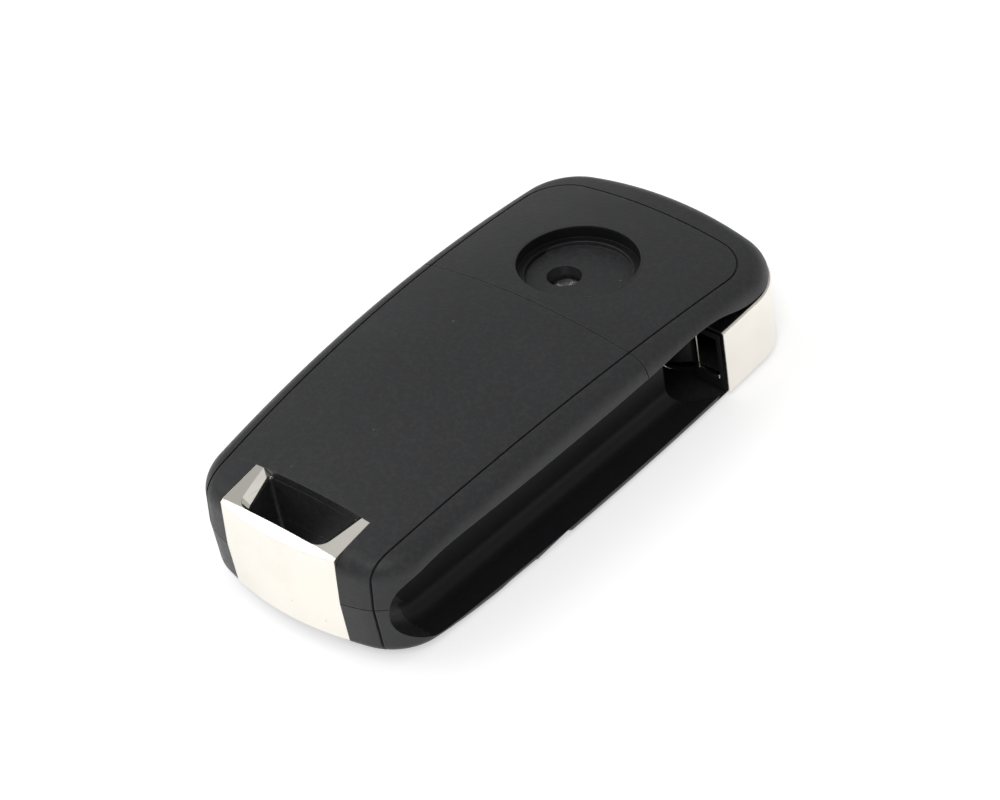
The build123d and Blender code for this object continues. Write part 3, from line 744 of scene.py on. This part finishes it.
class ChannelLining(GeometryTree):
    """Geometry nodes that give the faces inside the blade channel a smoother finish, darkened as painted
    shade.
    """

    LIMITS = {"Wall": 0.0105, "Wall end": 0.0153, "Floor": 0.0014, "Roof": 0.0146, "Crown": 0.004,
              "Length": 0.031, "Half width": 0.01905, "Half length": 0.0385, "Middle": 0.009, "Turn": 0.42}
    SQUARENESS = 5.0

    def __init__(self, lining: Material) -> None:
        """Build the tree: inside its limits a face is lined that turns inwards or lies on the wall.

        Args:
            lining: Finish of the faces inside the channel.
        """
        super().__init__(lining.name + "_lining", [Port(*limit) for limit in self.LIMITS.items()], True)
        nodes, size = self.nodes, self.size
        place = nodes.split(nodes.lay("GeometryNodeInputPosition"))
        facing = nodes.split(nodes.lay("GeometryNodeInputNormal"))
        outward = nodes.maths("DIVIDE", nodes.minus(place["Z"], size("Middle")), size("Middle"))
        turned = [nodes.times(outward, facing["Z"])]
        for axis, half in (("X", "Half width"), ("Y", "Half length")):
            outward = nodes.maths("POWER", nodes.maths("DIVIDE", place[axis], size(half)), self.SQUARENESS)
            turned.append(nodes.times(outward, facing[axis]))
        inward = nodes.maths("LESS_THAN", nodes.plus(*turned), size("Turn"))
        on_wall = nodes.maths("LESS_THAN", place["X"], size("Wall end"))
        level = nodes.plus(place["Z"], nodes.times(facing["Z"], size("Crown")))
        chosen = nodes.times(
            nodes.maths("MAXIMUM", inward, on_wall),
            nodes.maths("GREATER_THAN", place["X"], size("Wall")),
            nodes.maths("GREATER_THAN", place["Z"], size("Floor")),
            nodes.maths("LESS_THAN", level, size("Roof")),
            nodes.maths("LESS_THAN", nodes.maths("ABSOLUTE", place["Y"]), size("Length")),
        )
        feeds = {"Geometry": self.into.outputs["Geometry"], "Selection": chosen, "Material": lining}
        self.close(nodes.lay("GeometryNodeSetMaterial", feeds))


class Grown(GeometryTree):
    """A small piece of the case that geometry nodes make, one tree and one mesh for each."""

    def __init__(self, name: str, finish: Finish, palette: Palette, sizes: list[Port]) -> None:
        """Start the tree.

        Args:
            name: Name of the piece.
            finish: Finish that it wears.
            palette: Palette that makes the finish.
            sizes: Sizes that the tree takes.
        """
        super().__init__(name, sizes, False)
        self.finish, self.palette = finish, palette

    def outline(self, corners: int, radius: str) -> NodeSocket:
        """Make a round outline whose radius is a named size."""
        feeds = {"Resolution": corners, "Radius": self.size(radius)}
        return self.nodes.lay("GeometryNodeCurvePrimitiveCircle", feeds)

    def swept(self, route: NodeSocket, outline: NodeSocket, capped: bool = True) -> NodeSocket:
        """Sweep an outline along a route."""
        feeds = {"Curve": route, "Profile Curve": outline, "Fill Caps": capped}
        return self.nodes.lay("GeometryNodeCurveToMesh", feeds)

    def moved(self, geometry: NodeSocket) -> NodeSocket:
        """Move geometry to the size named Middle."""
        feeds = {"Geometry": geometry, "Translation": self.size("Middle")}
        return self.nodes.lay("GeometryNodeTransform", feeds)

    def settle(self, geometry: NodeSocket) -> None:
        """End the tree with real geometry in its finish and put it in the scene as a plain piece.

        Args:
            geometry: What the tree has made.
        """
        real = self.nodes.lay("GeometryNodeRealizeInstances", {0: geometry})
        feeds = {"Geometry": real, "Material": self.palette.get(self.finish)}
        self.close(self.nodes.lay("GeometryNodeSetMaterial", feeds))
        maker = linked(self.name + "_maker", bpy.data.meshes.new(self.name + "_maker"))
        self.put_on(maker)
        mesh = plain_mesh(maker)
        bpy.data.objects.remove(maker)
        piece = linked(self.name, mesh)
        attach(piece, Body.CASE.value)
        LOG.info("%s has %d faces", self.name, len(mesh.polygons))


@dataclass
class CoilWinding:
    """Copper wire wound round the waist of the transponder coil."""

    palette: Palette
    finish: Finish = Palette.WIRE
    turns: int = 34
    steps: int = 28
    wire: float = 0.085
    wire_sides: int = 6
    flange: float = 0.85
    waist: float = 0.4
    bulge: float = 1.13
    squareness: float = 6.0

    def build(self) -> None:
        """Wind the wire."""
        low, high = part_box("transponder_coil")
        middle, span = (low + high) / 2, high - low
        grown = Grown("coil_winding", self.finish, self.palette, [
            Port("Turns", float(self.turns)), Port("Wire", self.wire * MM),
            Port("Length", span.y - 2 * self.flange * MM - 2 * self.wire * MM),
            Port("Half width", (span.x / 2 - self.waist * MM) * self.bulge),
            Port("Half height", (span.z / 2 - self.waist * MM) * self.bulge),
            Port("Squareness", self.squareness), Port("Middle", tuple(middle), Kind.VECTOR)])
        nodes, size = grown.nodes, grown.size
        helix = nodes.lay("GeometryNodeCurveSpiral", {
            "Resolution": self.steps, "Rotations": size("Turns"), "Start Radius": 1.0,
            "End Radius": 1.0, "Height": size("Length")})
        place, power = nodes.split(nodes.lay("GeometryNodeInputPosition")), size("Squareness")
        corner = nodes.plus(*(nodes.maths("POWER", nodes.maths("ABSOLUTE", place[axis]), power)
                              for axis in ("X", "Y")))
        pull = nodes.maths("DIVIDE", 1.0, nodes.maths("POWER", corner, nodes.maths("DIVIDE", 1.0, power)))
        across = nodes.times(place["X"], pull, size("Half width"))
        upward = nodes.times(place["Y"], pull, size("Half height"))
        along = nodes.minus(place["Z"], nodes.times(size("Length"), 0.5))
        feeds = {0: nodes.joined(across, along, upward), 1: size("Middle")}
        laid = nodes.lay("ShaderNodeVectorMath", feeds, operation="ADD")
        route = nodes.lay("GeometryNodeSetPosition", {"Geometry": helix, "Position": laid})
        grown.settle(grown.swept(route, grown.outline(self.wire_sides, "Wire")))


@dataclass
class ChipLegs:
    """Two rows of bent legs that stand the controller chip on the board."""

    palette: Palette
    finish: Finish = Palette.LEG
    legs: int = 8
    pitch: float = 0.65
    width: float = 0.3
    reach: float = 0.85
    thickness: float = 0.12
    knee: float = 0.5
    bends: tuple = ((-0.1, 1.0), (0.3, 1.0), (0.55, 0.0), (1.0, 0.0))

    def build(self) -> None:
        """Set both rows of legs."""
        low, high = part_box("controller_chip")
        middle, span = (low + high) / 2, high - low
        grown = Grown("chip_legs", self.finish, self.palette, [
            Port("Legs", self.legs, Kind.COUNT), Port("Pitch", self.pitch * MM),
            Port("Width", self.width * MM), Port("Thickness", self.thickness * MM),
            Port("Side", span.x / 2), Port("Knee", self.knee * span.z), Port("Reach", self.reach * MM),
            Port("Middle", (middle.x, middle.y, low.z + self.thickness * MM), Kind.VECTOR)])
        nodes, size = grown.nodes, grown.size
        index = nodes.lay("GeometryNodeInputIndex")
        here = [nodes.lay("FunctionNodeCompare", {2: index, 3: number}, data_type="INT", operation="EQUAL")
                for number in range(len(self.bends))]
        outward, upward = (nodes.plus(*map(nodes.times, here, shares)) for shares in zip(*self.bends))
        far = nodes.plus(size("Side"), nodes.times(outward, size("Reach")))
        run = nodes.lay("GeometryNodeMeshLine", {"Count": len(self.bends)}, mode="OFFSET")
        spot = nodes.joined(far, 0.0, nodes.times(upward, size("Knee")))
        bent = nodes.lay("GeometryNodeSetPosition", {"Geometry": run, "Position": spot})
        feeds = {"Width": size("Thickness"), "Height": size("Width")}
        strip = nodes.lay("GeometryNodeCurvePrimitiveQuadrilateral", feeds)
        leg = grown.swept(nodes.lay("GeometryNodeMeshToCurve", {0: bent}), strip)
        half = nodes.times(nodes.minus(size("Legs"), 1.0), -0.5)
        row = nodes.lay("GeometryNodeMeshLine", {
            "Count": size("Legs"), "Start Location": nodes.joined(0.0, nodes.times(half, size("Pitch"))),
            "Offset": nodes.joined(0.0, size("Pitch"))}, mode="OFFSET")
        one_row = nodes.lay("GeometryNodeInstanceOnPoints", {"Points": row, "Instance": leg})
        feeds = {"Geometry": one_row, "Rotation": (0.0, 0.0, math.pi)}
        both = nodes.add("GeometryNodeJoinGeometry", {0: one_row})
        nodes.feed(both.inputs[0], nodes.lay("GeometryNodeTransform", feeds))
        grown.settle(grown.moved(both.outputs[0]))


@dataclass
class BoardVias:
    """Small tinned rings scattered over the upper face of the board."""

    palette: Palette
    finish: Finish = Palette.LEG
    spacing: float = 2.1
    density: float = 400000.0
    radius: float = 0.32
    height: float = 0.05
    corners: tuple = (16, 8)
    margin: float = 3.0
    seed: int = 7

    def build(self) -> None:
        """Scatter the rings."""
        low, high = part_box("circuit_board")
        middle, inner = (low + high) / 2, self.margin * MM
        grown = Grown("board_vias", self.finish, self.palette, [
            Port("Width", high.x - low.x - 2 * inner), Port("Length", high.y - low.y - 2 * inner),
            Port("Spacing", self.spacing * MM), Port("Radius", self.radius * MM),
            Port("Height", self.height * MM), Port("Seed", self.seed, Kind.COUNT),
            Port("Middle", (middle.x, middle.y, high.z), Kind.VECTOR)])
        nodes, size = grown.nodes, grown.size
        sheet = nodes.lay("GeometryNodeMeshGrid", {"Size X": size("Width"), "Size Y": size("Length")})
        feeds = {"Mesh": sheet, "Distance Min": size("Spacing"), "Density Max": self.density,
                 "Seed": size("Seed")}
        spots = nodes.lay("GeometryNodeDistributePointsOnFaces", feeds, distribute_method="POISSON")
        around, across = self.corners
        ring = grown.swept(grown.outline(around, "Radius"), grown.outline(across, "Height"), False)
        strewn = nodes.lay("GeometryNodeInstanceOnPoints", {"Points": spots, "Instance": ring})
        grown.settle(grown.moved(strewn))


@dataclass
class Dresser:
    """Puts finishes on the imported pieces."""

    palette: Palette
    smoothing: SmoothedMoulding

    def dress(self, worn: dict[str, Finish]) -> None:
        """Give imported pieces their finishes.

        Args:
            worn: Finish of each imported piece, by its name.
        """
        for node, finish in worn.items():
            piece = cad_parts[node]
            piece.data.materials.clear()
            piece.data.materials.append(self.palette.get(finish))
            self.smoothing.put_on(piece)
            LOG.info("%s wears %s", node, finish.name)

    def line(self, finish: Finish, *pieces: str) -> None:
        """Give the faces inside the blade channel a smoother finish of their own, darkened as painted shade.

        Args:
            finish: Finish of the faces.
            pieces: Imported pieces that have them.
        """
        lining = ChannelLining(self.palette.get(finish))
        for node in pieces:
            lining.put_on(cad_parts[node])
            LOG.info("%s is lined with %s", node, finish.name)


@dataclass
class Case:
    """Moulded case of the key with its clip, cover screw and pivot."""

    dresser: Dresser

    def build(self) -> None:
        """Dress the pieces of the case."""
        self.dresser.dress({
            "battery_cover": Palette.SHELL, "head_back_cover": Palette.SHELL,
            "front_housing": Palette.HOUSING, "ring_clip": Palette.CHROME, "cover_screw": Palette.SCREW,
            "pivot_barrel": Palette.BARREL, "flip_spring": Palette.SPRING})
        # The channel faces get the linings' smoother surface and their painted shade.
        self.dresser.line(Palette.SHELL_LINING_SHADED, "battery_cover", "head_back_cover")
        self.dresser.line(Palette.HOUSING_LINING_SHADED, "front_housing")


@dataclass
class FlipHead:
    """Bright head that turns out of the case, with its dark core and release button."""

    dresser: Dresser
    press: str = "release_press"

    def build(self) -> None:
        """Dress the pieces of the head and put the spring over the release button."""
        self.dresser.dress({"flip_head": Palette.CHROME_HEAD, "head_core": Palette.CORE,
                            "core_base": Palette.CORE, "release_button": Palette.CHROME_BUTTON})
        self.pressed_spring()

    def pressed_spring(self) -> None:
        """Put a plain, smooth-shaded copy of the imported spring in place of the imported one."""
        self.dresser.dress({"release_spring": Palette.SPRING})
        spring = linked("pressed_spring", plain_mesh(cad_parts["release_spring"]))
        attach(spring, Body.CASE.value)
        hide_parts("release_spring")
        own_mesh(spring)
        LOG.info("%s replaces release_spring", spring.name)


@dataclass
class ButtonFace:
    """Three buttons and the rubber pad round them."""

    dresser: Dresser

    def build(self) -> None:
        """Dress the buttons and the pad."""
        self.dresser.dress({"lock_button": Palette.BUTTON, "unlock_button": Palette.BUTTON,
                            "boot_button": Palette.BUTTON, "key_pad": Palette.PAD})


@dataclass
class Electronics:
    """Board, switches, battery and contacts inside the case."""

    dresser: Dresser

    def build(self) -> None:
        """Dress the inner pieces and add the winding, the chip's legs and the board's rings."""
        self.dresser.dress({
            "circuit_board": Palette.BOARD, "lock_switch": Palette.SWITCH,
            "unlock_switch": Palette.SWITCH, "boot_switch": Palette.SWITCH,
            "controller_chip": Palette.CHIP, "crystal": Palette.CRYSTAL,
            "transponder_coil": Palette.COIL, "battery_tray": Palette.TRAY, "coin_cell": Palette.CELL,
            "negative_contact": Palette.CONTACT, "positive_contact": Palette.CONTACT})
        for added in (CoilWinding, ChipLegs, BoardVias):
            added(self.dresser.palette).build()


@dataclass(frozen=True)
class SoftBox:
    """One soft lamp."""

    name: str
    place: tuple
    size: float
    power: float
    aim: tuple = (0.0, 0.0, 0.01)

    def build(self) -> None:
        """Make the lamp."""
        lamp = bpy.data.lights.new(self.name, "AREA")
        lamp.shape, lamp.size, lamp.energy = "DISK", self.size, self.power
        holder = linked(self.name, lamp)
        holder.location = self.place
        holder.rotation_euler = (Vector(self.place) - Vector(self.aim)).to_track_quat("Z", "Y").to_euler()


@dataclass
class Studio:
    """White sweep, soft lamps and the camera at the photograph's angle."""

    azimuth: float = 47.33
    elevation: float = 40.70
    roll: float = -10.24
    eye: tuple = (0.2074, -0.1898, 0.2491)
    lens: float = 108.0
    sensor: float = 36.0
    clip: tuple = (0.01, 50.0)
    floor_half: float = 6.0
    air: float = 0.47
    mirrored_air: float = 0.42
    floor_gap: float = 0.00002
    floor_tint: float = 0.8
    floor_lift: float = 0.52
    mirrored_lift: float = 0.46
    lamps: tuple = field(default_factory=lambda: (
        SoftBox("left_box", (-0.45, -0.18, 0.64), 0.56, 1.3),
        SoftBox("near_box", (0.24, -0.36, 0.62), 0.26, 0.95),
        SoftBox("slope_box", (0.37, 0.4, 0.53), 0.3, 0.06),
        SoftBox("arm_box", (-0.24, 0.28, 0.7), 0.36, 0.045),
    ))

    def build(self) -> None:
        """Set up floor, air, lamps and camera."""
        self.build_floor()
        self.build_air()
        for lamp in self.lamps:
            lamp.build()
        self.build_camera()
        bpy.context.scene.view_settings.view_transform = "Standard"

    def seen(self, nodes: Nodes, straight: float, mirrored: float, other: float) -> NodeSocket:
        """Give a strength by what kind of ray sees the background.

        Args:
            nodes: Nodes of the floor or the air.
            straight: Strength for camera and transmission rays.
            mirrored: Strength for glossy rays.
            other: Strength for the light on the key.

        Returns:
            Output socket with the strength.
        """
        path = nodes.add("ShaderNodeLightPath").outputs
        direct = nodes.maths("MAXIMUM", path["Is Camera Ray"], path["Is Transmission Ray"])
        plain = nodes.scaled(direct, straight - other, other)
        return nodes.scaled(path["Is Glossy Ray"], mirrored - other, plain)

    def build_floor(self) -> None:
        """Make the floor that keeps the key's shadow and isn't seen from below."""
        half, low = self.floor_half, -self.floor_gap
        mesh = bpy.data.meshes.new("floor")
        corners = [(-half, -half, low), (half, -half, low), (half, half, low), (-half, half, low)]
        mesh.from_pydata(corners, [], [(0, 1, 2, 3)])
        floor = linked("floor", mesh)
        material = bpy.data.materials.new("white_floor")
        material.use_nodes = True
        nodes = Nodes(material.node_tree)
        material.node_tree.nodes.clear()
        matt = nodes.lay("ShaderNodeBsdfDiffuse", {"Color": paint((self.floor_tint,) * 3)})
        strength = self.seen(nodes, self.floor_lift, self.mirrored_lift, 0.0)
        glow = nodes.lay("ShaderNodeEmission", {"Strength": strength})
        above = nodes.lay("ShaderNodeAddShader", {0: matt, 1: glow})
        below = nodes.lay("ShaderNodeBsdfTransparent")
        under = nodes.add("ShaderNodeNewGeometry").outputs["Backfacing"]
        surface = nodes.lay("ShaderNodeMixShader", {0: under, 1: above, 2: below})
        nodes.add("ShaderNodeOutputMaterial", {"Surface": surface})
        mesh.materials.append(material)

    def build_air(self) -> None:
        """Make the pale air round the key, greyer in what the key mirrors."""
        world = bpy.data.worlds.new("pale_air")
        bpy.context.scene.world = world
        world.use_nodes = True
        nodes = Nodes(world.node_tree)
        back = next(n for n in world.node_tree.nodes if n.type == "BACKGROUND")
        strength = self.seen(nodes, 1.0, self.mirrored_air, self.air)
        nodes.fill(back, {"Color": (1.0, 1.0, 1.0, 1.0), "Strength": strength})

    def build_camera(self) -> None:
        """Place the camera where the photograph was taken from."""
        a, e, r = (math.radians(x) for x in (self.azimuth, self.elevation, self.roll))
        back = Vector((math.sin(a) * math.cos(e), -math.cos(a) * math.cos(e), math.sin(e)))
        level = (-back).cross(Vector((0, 0, 1))).normalized()
        upright = level.cross(-back)
        right = level * math.cos(r) + upright * math.sin(r)
        up = upright * math.cos(r) - level * math.sin(r)
        data = bpy.data.cameras.new("photo_camera")
        data.lens, data.sensor_width = self.lens, self.sensor
        data.clip_start, data.clip_end = self.clip
        camera = linked("photo_camera", data)
        turn = Matrix((right, up, back)).transposed().to_4x4()
        camera.matrix_world = Matrix.Translation(Vector(self.eye)) @ turn
        bpy.context.scene.camera = camera


def main() -> None:
    """Build the looks of the key."""
    logging.basicConfig(level=logging.INFO, format="%(message)s")
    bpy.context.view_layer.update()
    dresser = Dresser(Palette(), SmoothedMoulding())
    for part in (Case(dresser), FlipHead(dresser), ButtonFace(dresser), Electronics(dresser)):
        part.build()
    Studio().build()


if __name__ == "__main__":
    main()
